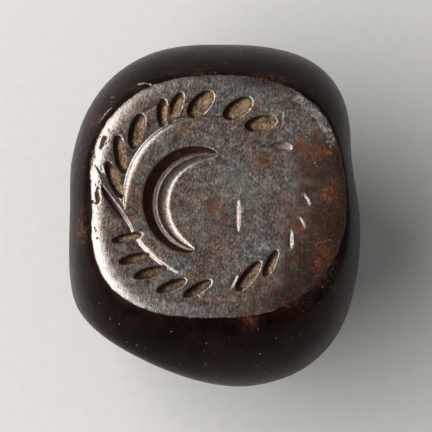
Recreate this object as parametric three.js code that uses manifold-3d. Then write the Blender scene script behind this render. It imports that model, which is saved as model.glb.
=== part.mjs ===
// Stamp seal cut from one piece of dark polished stone: a squat bead, pierced from side to side for
// its string, with one side ground flat and engraved with a crescent inside a wreath of leaves.
// Millimetres, +Z up. The seal lies on the small worn flat of its back, whose centre is the origin,
// with the engraved face up, the string hole along X and the top of the design towards +Y.
import * as THREE from "three";
import { mergeVertices } from "three/addons/utils/BufferGeometryUtils.js";
import Module from "manifold-3d";

const wasm = await Module();
wasm.setup();

// The bead, as half sizes from its centre before anything was ground off it
const HALF_WIDTH = 7.5; // X, to a pierced side
const HALF_LENGTH = 8.85; // Y
const HALF_HEIGHT = 7.9; // Z
const WIDTH_POWER = 3.05; // how square the bead is seen along Y, where 2 is an ellipse
const LENGTH_POWER = 2; // how square it is seen along X

// What grinding and wear took off it
const FACE_GROUND = 2.16; // depth ground off the top, to make the face
const BACK_WORN = 0.28; // depth worn off the back, which it now lies on
const FACET_REACH = 8.0; // from the bead's axis out to the ground facet, at the girdle
const FACET_BEARING = degrees(-120); // the facet is at the lower left of the design
const FACET_LEAN = 0.36; // how much nearer the facet comes for each millimetre down
const FACET_CREASE = 26; // how crisply the facet meets the bead
const SIDE_HOLLOW = { width: 0.5, bearing: degrees(19), spread: degrees(17) }; // at the girdle

// How square the outline's corners are, where 2 is an ellipse
const FACE_CORNERS = { upperRight: 2.5, upperLeft: 2.35, lowerLeft: 2.9, lowerRight: 2.3 };
const GIRDLE_CORNERS = { upperRight: 3.4, upperLeft: 2.45, lowerLeft: 3.1, lowerRight: 2.75 };
const BACK_CORNERS = { upperRight: 2.2, upperLeft: 2.2, lowerLeft: 2.2, lowerRight: 2.2 };

// The rolled rim of the face: its width, and the extra width where it is worn
const RIM_WIDTH = 0.6;
const RIM_DROP = 0.55; // drop at the rim's outer edge for each millimetre of its width
const LEFT_WEAR = { width: 0.4, bearing: degrees(180), spread: degrees(60) };
const CORNER_WEAR = { width: 1.2, bearing: degrees(-43), spread: degrees(34) };

// The string hole, drilled from both sides and worn wide at its mouths
const BORE_RADIUS = 2.1; // at the waist, where the two drillings meet
const BORE_TAPER = 0.2; // gained from the waist to each mouth
const MOUTH_FLARE = 0.7; // gained in the mouth, whose edge the string has rolled over
const MOUTH_DEPTH = 1.3;

// The crescent, cut as two grooves side by side that run out at its tips
const CRESCENT_CENTRE = new THREE.Vector2(-0.72, -0.35);
const CRESCENT_RADIUS = 2.49; // to its middle line at the tips
const CRESCENT_BOW = 0.14; // how far that line is drawn inwards half way between them
const CRESCENT_HALF_WIDTH = 0.73;
const CRESCENT_DEPTH = 0.48;
const CRESCENT_FROM = degrees(73);
const CRESCENT_TO = degrees(260);

// The ring inside the wreath: a trough in two strokes, rolled over on its inner side and gentle on
// its outer side, in which the leaves are cut. The first stroke is widest towards its end.
const WREATH_CENTRE = new THREE.Vector2(-0.57, -0.05);
const RING_RADIUS = 4.15; // to its deepest line
const RING_INNER_WIDTH = 0.55;
const RING_OUTER_WIDTH = 1.0;
const RING_DEPTH = 0.2;
const RING_STROKES = [
  { from: degrees(72), to: degrees(190), size: 1, skew: 1.8 },
  { from: degrees(200), to: degrees(250), size: 0.65, skew: 1 },
];

// The long line that leaves the ring between its two strokes and runs out towards the rim
const LINE_CENTRE = new THREE.Vector2(11.57, 10.58);
const LINE_RADIUS = 20.1; // to its deepest line
const LINE_FROM = degrees(210.3);
const LINE_TO = degrees(218);
const LINE_INNER_WIDTH = 0.2;
const LINE_OUTER_WIDTH = 0.3;
const LINE_RIM_DEPTH = 0.34; // it starts deep, because the rim is rolled down there
const LINE_RING_DEPTH = 0.08;

// The hollow flank between the long line and the leaf beside it
const FLANK_CENTRE = new THREE.Vector2(12.03, 10.42);
const FLANK_RADIUS = 20; // to its deepest line
const FLANK_FROM = degrees(206.6);
const FLANK_TO = degrees(213.2);
const FLANK_INNER_WIDTH = 0.16;
const FLANK_OUTER_WIDTH = 0.42;
const FLANK_RIM_DEPTH = 0.16;
const FLANK_RING_DEPTH = 0.2;

// The wreath's leaves, each one plunge of a cutting wheel: its bearing and distance from the
// wreath's centre, its turn from the ring's own direction, and its length, width and depth
const LEAVES = [
  leaf(154, 4.79, 36, 2.1, 0.68, 0.34),
  leaf(136.7, 4.8, 29, 1.95, 0.82, 0.36),
  leaf(117.5, 4.78, 60, 1.55, 0.6, 0.3),
  leaf(109.5, 4.76, 47, 1.85, 0.64, 0.36),
  leaf(93.7, 4.71, 44, 1.8, 0.96, 0.42),
  leaf(70.7, 4.77, 53, 1.75, 0.94, 0.4),
  leaf(53.9, 4.63, 49, 1.7, 0.82, 0.38),
  leaf(34.2, 4.54, 51, 1.15, 0.46, 0.13),
  leaf(-1.7, 5.0, 35, 0.72, 0.24, 0.08),
  leaf(-15.3, 4.93, 45, 0.64, 0.22, 0.08),
  leaf(-27.6, 4.74, 26, 1.05, 0.3, 0.11),
  leaf(-46.7, 4.67, 21, 1.62, 0.5, 0.24),
  leaf(-62.6, 4.56, 24, 2.0, 0.64, 0.34),
  leaf(-72.8, 4.56, 43, 0.85, 0.24, 0.1),
  leaf(-95.5, 4.72, 35, 1.7, 0.56, 0.3),
  leaf(-111, 4.88, 43, 1.68, 0.56, 0.3),
  leaf(-125.8, 4.78, 53, 1.85, 0.58, 0.32),
  leaf(-138.6, 4.8, 64, 1.7, 0.54, 0.28),
  leaf(-151.7, 4.5, 75, 1.65, 0.5, 0.28),
  leaf(170.1, 4.67, 32, 2.1, 0.68, 0.36),
];
const LEAF_FULLNESS = 2.4; // the wheel's rim: 1 is a sharp V, and more is fuller

// How finely the curves are cut into facets
const STONE_COLUMNS = 88;
const SIDE_ROWS = 17;
const RIM_ROWS = 5;
const BORE_SIDES = 36;
const WHEEL_SIDES = 44;
const CRESCENT_STEPS = 30;
const LINE_STEPS = 20;
const CUT_CLEARANCE = 0.4; // how far a cutting shape stands above the face

const FACE_RISE = HALF_HEIGHT - FACE_GROUND; // from the girdle up to the face
const BACK_DROP = HALF_HEIGHT - BACK_WORN; // from the girdle down to the worn back
const FACE_HEIGHT = FACE_RISE + BACK_DROP;

function degrees(angle) {
  return THREE.MathUtils.degToRad(angle);
}

function leaf(bearing, distance, turn, length, width, depth) {
  return { bearing: degrees(bearing), distance, turn: degrees(turn), length, width, depth };
}

// The share of a half size that the bead keeps at a height off its girdle
function shareAt(rise, power) {
  return Math.pow(1 - Math.pow(Math.abs(rise) / HALF_HEIGHT, power), 1 / power);
}

// How square the outline is at a bearing and height: it changes from the girdle to face and back
function cornerPower(angle, rise) {
  const side = Math.cos(angle) >= 0 ? "Right" : "Left";
  const corner = (Math.sin(angle) >= 0 ? "upper" : "lower") + side;
  const end = rise > 0 ? FACE_CORNERS[corner] : BACK_CORNERS[corner];
  const share = Math.abs(rise) / (rise > 0 ? FACE_RISE : BACK_DROP);
  return THREE.MathUtils.lerp(GIRDLE_CORNERS[corner], end, Math.min(share, 1));
}

// Distance from the axis to the stone's side: a superellipse, less the hollow, with the facet
// blended into it
function stoneRadius(angle, rise) {
  const power = cornerPower(angle, rise);
  const across = Math.abs(Math.cos(angle)) / (HALF_WIDTH * shareAt(rise, WIDTH_POWER));
  const along = Math.abs(Math.sin(angle)) / (HALF_LENGTH * shareAt(rise, LENGTH_POWER));
  const oval = Math.pow(Math.pow(across, power) + Math.pow(along, power), -1 / power);
  const bead = oval - hollowAt(angle, rise);
  const facing = Math.cos(angle - FACET_BEARING);
  if (facing <= 0) return bead;
  const facet = (FACET_REACH + rise * FACET_LEAN) / facing;
  return Math.pow(Math.pow(bead, -FACET_CREASE) + Math.pow(facet, -FACET_CREASE), -1 / FACET_CREASE);
}

// The shallow hollow ground into the right side, fading from the girdle to the face and back
function hollowAt(angle, rise) {
  return wearAt(angle, SIDE_HOLLOW) * Math.pow(1 - Math.pow(rise / HALF_HEIGHT, 2), 2);
}

// A bell-shaped share, 1 at the wear's own bearing, fading to both sides of it
function wearAt(angle, wear) {
  const turn = Math.atan2(Math.sin(angle - wear.bearing), Math.cos(angle - wear.bearing));
  return wear.width * Math.exp(-Math.pow(turn / wear.spread, 2));
}

function rimWidth(angle) {
  return RIM_WIDTH + wearAt(angle, LEFT_WEAR) + wearAt(angle, CORNER_WEAR);
}

function pointAt(angle, radius, rise) {
  return new THREE.Vector3(radius * Math.cos(angle), radius * Math.sin(angle), rise + BACK_DROP);
}

// One loop of points round the rim: a curve from the flat face over its corner to the side
function rimLoop(share) {
  return loopOf((angle) => {
    const width = rimWidth(angle);
    const drop = width * RIM_DROP;
    const edge = stoneRadius(angle, FACE_RISE);
    const curve = new THREE.QuadraticBezierCurve3(
      pointAt(angle, edge - width, FACE_RISE),
      pointAt(angle, edge, FACE_RISE),
      pointAt(angle, stoneRadius(angle, FACE_RISE - drop), FACE_RISE - drop),
    );
    return curve.getPoint(share);
  });
}

// One loop of points round the side: equal steps of slope, from the rim's foot to the worn back
function sideLoop(share) {
  return loopOf((angle) => {
    const from = Math.asin((FACE_RISE - rimWidth(angle) * RIM_DROP) / HALF_HEIGHT);
    const to = Math.asin(-BACK_DROP / HALF_HEIGHT);
    const rise = HALF_HEIGHT * Math.sin(THREE.MathUtils.lerp(from, to, share));
    return pointAt(angle, stoneRadius(angle, rise), rise);
  });
}

function loopOf(pointFor) {
  return Array.from({ length: STONE_COLUMNS }, (_, column) =>
    pointFor((column / STONE_COLUMNS) * 2 * Math.PI),
  );
}

// A closed shape through loops of equal length, with a fan to a centre point at each end. Seen from
// before the first loop, the loops run anticlockwise.
function loft(loops, firstCentre, lastCentre) {
  const count = loops[0].length;
  const points = [...loops.flat(), firstCentre, lastCentre];
  const first = points.length - 2;
  const last = points.length - 1;
  const index = [];
  for (let column = 0; column < count; column++) {
    const next = (column + 1) % count;
    index.push(first, column, next);
    for (let row = 0; row < loops.length - 1; row++) {
      const above = row * count;
      const below = above + count;
      index.push(below + column, below + next, above + next);
      index.push(below + column, above + next, above + column);
    }
    const foot = (loops.length - 1) * count;
    index.push(last, foot + next, foot + column);
  }
  return new THREE.BufferGeometry().setFromPoints(points).setIndex(index);
}

function stoneShape() {
  const rim = Array.from({ length: RIM_ROWS + 1 }, (_, row) => rimLoop(row / RIM_ROWS));
  const side = Array.from({ length: SIDE_ROWS }, (_, row) => sideLoop((row + 1) / SIDE_ROWS));
  return loft(
    [...rim, ...side],
    new THREE.Vector3(0, 0, FACE_HEIGHT),
    new THREE.Vector3(0, 0, 0),
  );
}

// The hole's radius at a distance from its waist: a slight taper, then a mouth that flares ever
// more steeply, until it rolls over into the side
function boreRadius(distance) {
  const mouth = Math.max(0, distance - (HALF_WIDTH - MOUTH_DEPTH)) / MOUTH_DEPTH;
  return BORE_RADIUS + (BORE_TAPER * distance) / HALF_WIDTH + MOUTH_FLARE * Math.pow(mouth, 4);
}

function boreShape() {
  const straight = HALF_WIDTH - MOUTH_DEPTH;
  const stations = [0, straight];
  for (const share of [0.4, 0.65, 0.85, 1, 1.12]) stations.push(straight + share * MOUTH_DEPTH);
  const half = stations.map((distance) => new THREE.Vector2(boreRadius(distance), distance));
  const mirrored = half.slice(1).reverse().map((point) => new THREE.Vector2(point.x, -point.y));
  const end = half.at(-1).y;
  const profile = [new THREE.Vector2(0, -end), ...mirrored, ...half, new THREE.Vector2(0, end)];
  return new THREE.LatheGeometry(profile, BORE_SIDES)
    .rotateZ(Math.PI / 2)
    .translate(0, 0, BACK_DROP);
}

// A leaf's cutting wheel, sunk into the face: its size follows from the leaf's length and depth
function wheelShape({ bearing, distance, turn, length, width, depth }) {
  const radius = ((length * length) / 4 + depth * depth) / (2 * depth);
  const profile = [new THREE.Vector2(0, -width / 2)];
  for (const share of [-1, -0.8, -0.45, 0, 0.45, 0.8, 1]) {
    const relief = depth * Math.pow(Math.abs(share), LEAF_FULLNESS);
    profile.push(new THREE.Vector2(radius - relief, (share * width) / 2));
  }
  profile.push(new THREE.Vector2(0, width / 2));
  return new THREE.LatheGeometry(profile, WHEEL_SIDES)
    .rotateZ(bearing + Math.PI / 2 + turn)
    .translate(
      WREATH_CENTRE.x + distance * Math.cos(bearing),
      WREATH_CENTRE.y + distance * Math.sin(bearing),
      FACE_HEIGHT + radius - depth,
    );
}

// A cut along an arc in the face. The section gives points from the inner edge to the outer edge at
// a share of the arc's length, as an offset outwards and a depth.
function arcShape({ centre, radius, from, to, steps, section }) {
  const place = (angle, out, down) =>
    new THREE.Vector3(
      centre.x + (radius + out) * Math.cos(angle),
      centre.y + (radius + out) * Math.sin(angle),
      FACE_HEIGHT - down,
    );
  const loops = [];
  const middles = [];
  for (let step = 0; step <= steps; step++) {
    const angle = THREE.MathUtils.lerp(from, to, step / steps);
    const floor = section(step / steps);
    const inner = floor[0][0];
    const outer = floor.at(-1)[0];
    const points = [...floor, [outer, -CUT_CLEARANCE], [inner, -CUT_CLEARANCE]];
    loops.push(points.map(([out, down]) => place(angle, out, down)));
    middles.push(place(angle, (inner + outer) / 2, -CUT_CLEARANCE / 2));
  }
  return loft(loops, middles[0], middles.at(-1));
}

// Swells from a thin tip to the full size and back along a cut
function swell(share, fullness) {
  const tip = 0.04;
  return tip + (1 - tip) * Math.pow(Math.sin(Math.PI * share), fullness);
}

function crescentShape() {
  const floor = [
    [-1, 0],
    [-0.8, 0.12],
    [-0.62, 0.33],
    [-0.5, 0.5],
    [-0.38, 0.68],
    [-0.2, 0.65],
    [-0.03, 0.6],
    [0.08, 0.8],
    [0.26, 1],
    [0.6, 0.62],
    [0.85, 0.24],
    [1, 0],
  ];
  return arcShape({
    centre: CRESCENT_CENTRE,
    radius: CRESCENT_RADIUS,
    from: CRESCENT_FROM,
    to: CRESCENT_TO,
    steps: CRESCENT_STEPS,
    section: (share) => {
      const width = CRESCENT_HALF_WIDTH * swell(share, 0.47);
      const depth = CRESCENT_DEPTH * swell(share, 0.6);
      const bow = CRESCENT_BOW * Math.sin(Math.PI * share);
      return floor.map(([out, down]) => [out * width - bow, down * depth]);
    },
  });
}

// A line's section: a steep inner wall and a gentle outer one, which meet in its deepest line
function lineSection(innerWidth, outerWidth, depth) {
  return [
    [-innerWidth, 0],
    [0, depth],
    [outerWidth, 0],
  ];
}

function ringShape({ from, to, size, skew }) {
  return arcShape({
    centre: WREATH_CENTRE,
    radius: RING_RADIUS,
    from,
    to,
    steps: LINE_STEPS,
    section: (share) => {
      const part = size * swell(Math.pow(share, skew), 0.7);
      const depth = RING_DEPTH * Math.sqrt(part);
      const wall = RING_INNER_WIDTH * part;
      return [
        [-wall, 0],
        [-0.6 * wall, 0.12 * depth],
        [-0.3 * wall, 0.44 * depth],
        [0, depth],
        [RING_OUTER_WIDTH * part, 0],
      ];
    },
  });
}

function longLineShape() {
  return arcShape({
    centre: LINE_CENTRE,
    radius: LINE_RADIUS,
    from: LINE_FROM,
    to: LINE_TO,
    steps: LINE_STEPS,
    section: (share) => {
      const part = swell(share, 0.5);
      const depth = THREE.MathUtils.lerp(LINE_RIM_DEPTH, LINE_RING_DEPTH, share);
      return lineSection(LINE_INNER_WIDTH * part, LINE_OUTER_WIDTH * part, depth);
    },
  });
}

function flankShape() {
  return arcShape({
    centre: FLANK_CENTRE,
    radius: FLANK_RADIUS,
    from: FLANK_FROM,
    to: FLANK_TO,
    steps: LINE_STEPS,
    section: (share) => {
      const part = swell(share, 0.5);
      const deepest = THREE.MathUtils.lerp(FLANK_RIM_DEPTH, FLANK_RING_DEPTH, share);
      const depth = deepest * Math.sqrt(part);
      return lineSection(FLANK_INNER_WIDTH * part, FLANK_OUTER_WIDTH * part, depth);
    },
  });
}

function solidOf(geometry) {
  const bare = geometry.index ? geometry.toNonIndexed() : geometry.clone();
  bare.deleteAttribute("normal");
  bare.deleteAttribute("uv");
  const merged = mergeVertices(bare);
  return new wasm.Manifold(
    new wasm.Mesh({
      numProp: 3,
      vertProperties: merged.attributes.position.array,
      triVerts: new Uint32Array(merged.index.array),
    }),
  );
}

function geometryOf(solid) {
  const mesh = solid.getMesh();
  return new THREE.BufferGeometry()
    .setAttribute("position", new THREE.BufferAttribute(mesh.vertProperties, 3))
    .setIndex(new THREE.BufferAttribute(mesh.triVerts, 1));
}

function sealStone() {
  const lines = [...RING_STROKES.map(ringShape), longLineShape(), flankShape()];
  const cuts = [boreShape(), crescentShape(), ...lines, ...LEAVES.map(wheelShape)];
  let stone = solidOf(stoneShape());
  for (const cut of cuts) stone = stone.subtract(solidOf(cut));
  const polished = new THREE.MeshStandardMaterial({
    color: 0x3a2a25,
    roughness: 0.32,
    metalness: 0.25,
    flatShading: true,
  });
  const mesh = new THREE.Mesh(geometryOf(stone), polished);
  mesh.name = "seal_stone";
  return mesh;
}

const seal = new THREE.Group();
seal.add(sealStone());

export default seal;
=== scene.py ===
"""A stamp seal of dark polished hematite: a squat bead, pierced from side to side for its string.

One side of the bead is ground flat and engraved with a crescent inside a wreath of slanted leaves.
The seal lies on its back on a pale floor, and the camera looks down on the engraved face.

Shapes are worked out in millimetres as numpy grids and put into meshes in metres. Bearings run
anticlockwise in the plan from the X axis. They are written down in degrees.
"""

import logging
import math
from dataclasses import dataclass
from enum import Enum
from typing import Any, Iterable

import bpy
import numpy as np
from mathutils import Matrix, Vector


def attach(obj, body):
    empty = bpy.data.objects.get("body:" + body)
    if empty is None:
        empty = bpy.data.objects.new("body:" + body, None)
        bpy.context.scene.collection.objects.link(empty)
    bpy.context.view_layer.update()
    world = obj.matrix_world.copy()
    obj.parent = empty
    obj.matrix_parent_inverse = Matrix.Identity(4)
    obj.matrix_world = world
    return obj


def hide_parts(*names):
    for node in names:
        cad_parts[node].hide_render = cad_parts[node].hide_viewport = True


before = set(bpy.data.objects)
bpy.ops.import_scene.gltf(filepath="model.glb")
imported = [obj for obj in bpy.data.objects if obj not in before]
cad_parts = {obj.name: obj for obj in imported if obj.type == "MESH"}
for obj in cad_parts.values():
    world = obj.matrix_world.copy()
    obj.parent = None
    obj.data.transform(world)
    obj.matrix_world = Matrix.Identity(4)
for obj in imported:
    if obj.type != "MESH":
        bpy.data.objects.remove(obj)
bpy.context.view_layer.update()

MM = 0.001
STONE_NODE = "seal_stone"
COLOUR_OUT = 2  # the Mix node's colour output, after its number and vector outputs
NOISE_VALUES = 4096  # random values in a noise's table, a power of 2
NOISE_PRIMES = (73856093, 19349663, 83492791)  # they scatter the lattice's corners over the table
ARC_END = 0.0001  # the share of an arc that is left off at each end, so that no width is 0

Array = np.ndarray
Pair = tuple[float, float]
Sockets = dict[str, bpy.types.NodeSocket]
log = logging.getLogger("seal")


class Mask(Enum):
    """Where a finish lies on the stone, by the name of the attribute that holds its share."""

    GROUND = "ground"
    BROWNED = "browned"
    TARNISHED_AND_SHADED = "tarnished_and_shaded"
    # tarnished: dark brown patina, with painted shade on the margins and towards the lower right,
    # away from the light
    RUST = "rust"
    # worn: wear on the rim and in the cuts, with painted highlights where they face the light
    WORN_AND_HIGHLIT = "worn"
    # cut: the dark rough cut, with painted shade on the moon's outer wall and along two grooves and
    # a leaf's edge
    ROUGH_CUT_AND_SHADE = "cut"
    # filled: pale residue in the leaves, set towards their right walls, which face the light, as
    # partly painted light
    FILLED_AND_LIT = "filled"
    ABRADED = "abraded"
    CHIPPED = "chipped"
    HAIRLINE = "hairline"
    BORED = "bored"


def linear_colour(hex_colour: str) -> tuple[float, float, float, float]:
    """Turns an sRGB hex colour into Blender's linear one.

    Args:
        hex_colour: Six hex digits after a hash mark, such as "#6b6560".

    Returns:
        Linear red, green, blue, and an alpha of 1.
    """
    channels = [int(hex_colour[i : i + 2], 16) / 255 for i in (1, 3, 5)]
    linear = [c / 12.92 if c <= 0.04045 else ((c + 0.055) / 1.055) ** 2.4 for c in channels]
    return (linear[0], linear[1], linear[2], 1.0)


def smooth_step(value: Array, start: float, end: float) -> Array:
    """Rises smoothly from 0 at start to 1 at end: three squares less two cubes of the share."""
    share = np.clip((value - start) / (end - start), 0, 1)
    return share * share * (3 - 2 * share)


def turn_between(angle: Array, bearing: float) -> Array:
    """Gives the turn from a bearing to an angle, in radians from -pi to pi."""
    return np.arctan2(np.sin(angle - bearing), np.cos(angle - bearing))


def arc_share(angle: Array, start: float, end: float) -> Array:
    """Gives how far along an arc an angle is: a half plus its turn off the middle over the span."""
    turn = turn_between(angle, math.radians((start + end) / 2))
    return np.clip(0.5 + turn / math.radians(end - start), ARC_END, 1 - ARC_END)


def soft_greatest(first: Array, second: Array, softness: float) -> Array:
    """Gives the greater of two heights, with the crease between them rounded.

    The half sum, plus half the length of a right triangle's long side, whose other sides are the
    difference and the softness: it is the plain greatest where the two lie far apart.

    Args:
        first: One height at each point.
        second: The other height at each point.
        softness: About how wide the rounded crease is, in the heights' own unit.

    Returns:
        The rounded greatest at each point.
    """
    return (first + second + np.sqrt((first - second) ** 2 + softness**2)) / 2


@dataclass(frozen=True)
class Plan:
    """Points of the stone as they lie in the plan, in mm."""

    x: Array
    y: Array

    def polar(self, centre: Pair = (0.0, 0.0)) -> tuple[Array, Array]:
        """Gives the points' bearings in radians and their distances, from a centre."""
        right, up = self.x - centre[0], self.y - centre[1]
        return np.arctan2(up, right), np.hypot(right, up)

    def turned(self, centre: Pair, heading: float) -> tuple[Array, Array]:
        """Gives how far the points lie from a centre, along a heading and across it.

        Args:
            centre: Where the distances start.
            heading: The direction in radians.

        Returns:
            Distances forwards and distances to the left, in mm.
        """
        right, up = self.x - centre[0], self.y - centre[1]
        cosine, sine = math.cos(heading), math.sin(heading)
        return right * cosine + up * sine, up * cosine - right * sine

    def moved(self, right: float) -> "Plan":
        """Gives the points at the same distance to the right of all of these."""
        return Plan(self.x + right, self.y)


@dataclass(frozen=True)
class Noise:
    """Smooth noise from -1 to 1, with lumps of one size."""

    size: float  # mm
    seed: int

    def at(self, points: Array) -> Array:
        """Gives the noise: random values on a cubic lattice, eased between its corners.

        Args:
            points: One row of x, y and z for each point, in mm.

        Returns:
            One value for each point.
        """
        table = np.random.default_rng(self.seed).uniform(-1, 1, NOISE_VALUES)
        place = points / self.size
        cell = np.floor(place).astype(np.int64)
        ease = smooth_step(place - cell, 0, 1)
        value = np.zeros(len(points))
        for corner in np.ndindex(2, 2, 2):
            weight = np.prod(np.where(np.array(corner) == 1, ease, 1 - ease), axis=1)
            key = np.bitwise_xor.reduce((cell + corner) * NOISE_PRIMES, axis=1)
            value += weight * table[key & (NOISE_VALUES - 1)]
        return value

    def in_plan(self, plan: Plan) -> Array:
        """Gives the noise at points of the plan, at height 0."""
        points = np.stack([plan.x, plan.y, np.zeros_like(plan.x)], axis=-1)
        return self.at(points.reshape(-1, 3)).reshape(plan.x.shape)


@dataclass(frozen=True)
class Bell:
    """A gain that swells at one bearing round the stone and fades to both sides of it."""

    size: float  # at the bearing itself
    bearing: float
    spread: float  # degrees

    def at(self, angle: Array) -> Array:
        """Gives the gain at each angle: the size times e to minus the squared turn in spreads."""
        turn = turn_between(angle, math.radians(self.bearing))
        return self.size * np.exp(-((turn / math.radians(self.spread)) ** 2))


@dataclass(frozen=True)
class Strip:
    """A strip of values where a share rises smoothly to its strength and falls back to 0."""

    start: float
    full: float
    fading: float
    end: float
    strength: float = 1.0

    def at(self, value: Array) -> Array:
        """Gives the strength times a smooth step up and a smooth step down."""
        rise = smooth_step(value, self.start, self.full)
        return self.strength * rise * (1 - smooth_step(value, self.fading, self.end))


@dataclass(frozen=True)
class Corners:
    """How square the outline is in each quarter of the plan, where 2 is an ellipse."""

    upper_right: float
    upper_left: float
    lower_left: float
    lower_right: float

    def at(self, angle: Array) -> Array:
        """Gives the power of the quarter that each angle is in.

        Args:
            angle: Bearings in radians.

        Returns:
            Powers.
        """
        upper = np.where(np.cos(angle) >= 0, self.upper_right, self.upper_left)
        lower = np.where(np.cos(angle) >= 0, self.lower_right, self.lower_left)
        return np.where(np.sin(angle) >= 0, upper, lower)


@dataclass(frozen=True)
class BeadForm:
    """The stone's outer form before its engraving, in mm, with heights measured from its girdle."""

    half_width: float = 7.5
    half_length: float = 8.85
    half_height: float = 7.9
    width_power: float = 3.05  # how square it is, seen along Y: 2 is an ellipse
    length_power: float = 2.0  # how square it is, seen along X
    face_ground: float = 2.16  # ground off for the face
    back_worn: float = 0.28  # worn off the back
    facet_reach: float = 8.0  # the ground facet's distance from the axis at the girdle
    facet_bearing: float = -120.0
    facet_lean: float = 0.36  # how far the facet leans outwards for each mm up
    facet_crease: float = 26.0  # the power that blends it in: a higher one is crisper
    least_facing: float = 0.01  # a cosine, past which the facet is too far off to matter
    side_hollow: Bell = Bell(0.5, 19, 17)
    face_corners: Corners = Corners(2.5, 2.35, 2.9, 2.3)
    girdle_corners: Corners = Corners(3.4, 2.45, 3.1, 2.75)
    back_corners: Corners = Corners(2.2, 2.2, 2.2, 2.2)
    rim_width: float = 0.6
    rim_drop: float = 0.55  # how far the rim rolls down for each mm of its width
    rim_wear: tuple[Bell, ...] = (Bell(0.4, 180, 60), Bell(1.2, -43, 34))

    @property
    def face_rise(self) -> float:
        """Height of the face above the girdle."""
        return self.half_height - self.face_ground

    @property
    def back_drop(self) -> float:
        """Depth of the worn back below the girdle."""
        return self.half_height - self.back_worn

    def share_at(self, rise: Array, power: float) -> Array:
        """Gives the share of a half size left at a height: the superellipse of that power."""
        return (1 - (np.abs(rise) / self.half_height) ** power) ** (1 / power)

    def radius(self, angle: Array, rise: Array) -> Array:
        """Gives the distance from the axis to the stone's side.

        A superellipse in plan, whose powers change from the girdle to the face and the back, less
        the shallow hollow, with the ground facet's plane blended into it by a high power sum.

        Args:
            angle: Bearings in radians.
            rise: Heights off the girdle in mm, of the same shape.

        Returns:
            Distances in mm.
        """
        end = np.where(rise > 0, self.face_corners.at(angle), self.back_corners.at(angle))
        share = np.abs(rise) / np.where(rise > 0, self.face_rise, self.back_drop)
        girdle = self.girdle_corners.at(angle)
        power = girdle + (end - girdle) * np.minimum(share, 1)
        across = np.abs(np.cos(angle)) / (self.half_width * self.share_at(rise, self.width_power))
        along = np.abs(np.sin(angle)) / (self.half_length * self.share_at(rise, self.length_power))
        oval = (across**power + along**power) ** (-1 / power)
        hollow = self.side_hollow.at(angle) * (1 - (rise / self.half_height) ** 2) ** 2
        bead = oval - hollow
        facing = np.cos(angle - math.radians(self.facet_bearing))
        facet = (self.facet_reach + rise * self.facet_lean) / np.maximum(facing, self.least_facing)
        crease = self.facet_crease
        return (bead**-crease + facet**-crease) ** (-1 / crease)

    def face_corner(self, angle: Array) -> Array:
        """Gives the distance from the axis to where the face's plane meets the stone's side."""
        return self.radius(angle, np.full_like(angle, self.face_rise))

    def outside(self, plan: Plan) -> Array:
        """Gives how far points of the plan lie outside the face's corner, in mm."""
        angle, distance = plan.polar()
        return distance - self.face_corner(angle)

    def rim_at(self, angle: Array) -> Array:
        """Gives the rolled rim's width at each angle."""
        return self.rim_width + sum(wear.at(angle) for wear in self.rim_wear)

    def rim_fall(self, angle: Array) -> Array:
        """Gives how far the rim rolls down in all at each angle."""
        return self.rim_at(angle) * self.rim_drop

    def rim_foot(self, angle: Array) -> Array:
        """Gives the height off the girdle of the rim's outer edge at each angle."""
        return self.face_rise - self.rim_fall(angle)

    def rim_share(self, plan: Plan) -> Array:
        """Gives how far down the rim points of the plan lie, as a share of its whole fall."""
        angle, _ = plan.polar()
        return self.face_drop(plan) / self.rim_fall(angle)

    def face_drop(self, plan: Plan) -> Array:
        """Gives how far the rim has rolled down below the face's plane at points of the plan.

        The rim is a quadratic curve from the flat, over the face's corner, to the side. Its place
        along itself is solved from the distance to the axis, and the drop is its square.

        Args:
            plan: Points of the engraved side.

        Returns:
            Drops in mm, 0 on the flat.
        """
        angle, distance = plan.polar()
        width = self.rim_at(angle)
        corner = self.face_corner(angle)
        foot = self.radius(angle, self.rim_foot(angle))
        inward = np.maximum(distance - (corner - width), 0)
        bend = foot - corner - width
        root = np.sqrt(np.maximum(width**2 + bend * inward, 0))
        along = inward / (width + root)
        return width * self.rim_drop * np.clip(along, 0, 1) ** 2


@dataclass(frozen=True)
class Leaf:
    """One plunge of the cutting wheel into the face, in mm, placed about the wreath's centre."""

    bearing: float
    reach: float
    turn: float  # degrees off the way round the wreath
    length: float
    width: float
    depth: float

    def sunk(self, plan: Plan, centre: Pair, fullness: float) -> Array:
        """Gives the plunge's depth below the face, which is negative outside it.

        A wheel stands upright along the leaf, so its lower edge is a circular arc. Its rim falls
        away to both sides by the fullness power of the share of the half width.

        Args:
            plan: Points of the face.
            centre: The wreath's centre.
            fullness: The wheel rim's power: 1 is a sharp V, and more is fuller.

        Returns:
            Depths in mm.
        """
        bearing = math.radians(self.bearing)
        right = centre[0] + self.reach * math.cos(bearing)
        up = centre[1] + self.reach * math.sin(bearing)
        heading = bearing + math.pi / 2 + math.radians(self.turn)
        along, across = plan.turned((right, up), heading)
        wheel = (self.length**2 / 4 + self.depth**2) / (2 * self.depth)
        rim = wheel - self.depth * np.abs(2 * across / self.width) ** fullness
        reach = np.sqrt(np.maximum(rim**2 - along**2, 0)) * (rim > 0)
        return np.maximum(reach - wheel + self.depth, -self.depth)


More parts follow.
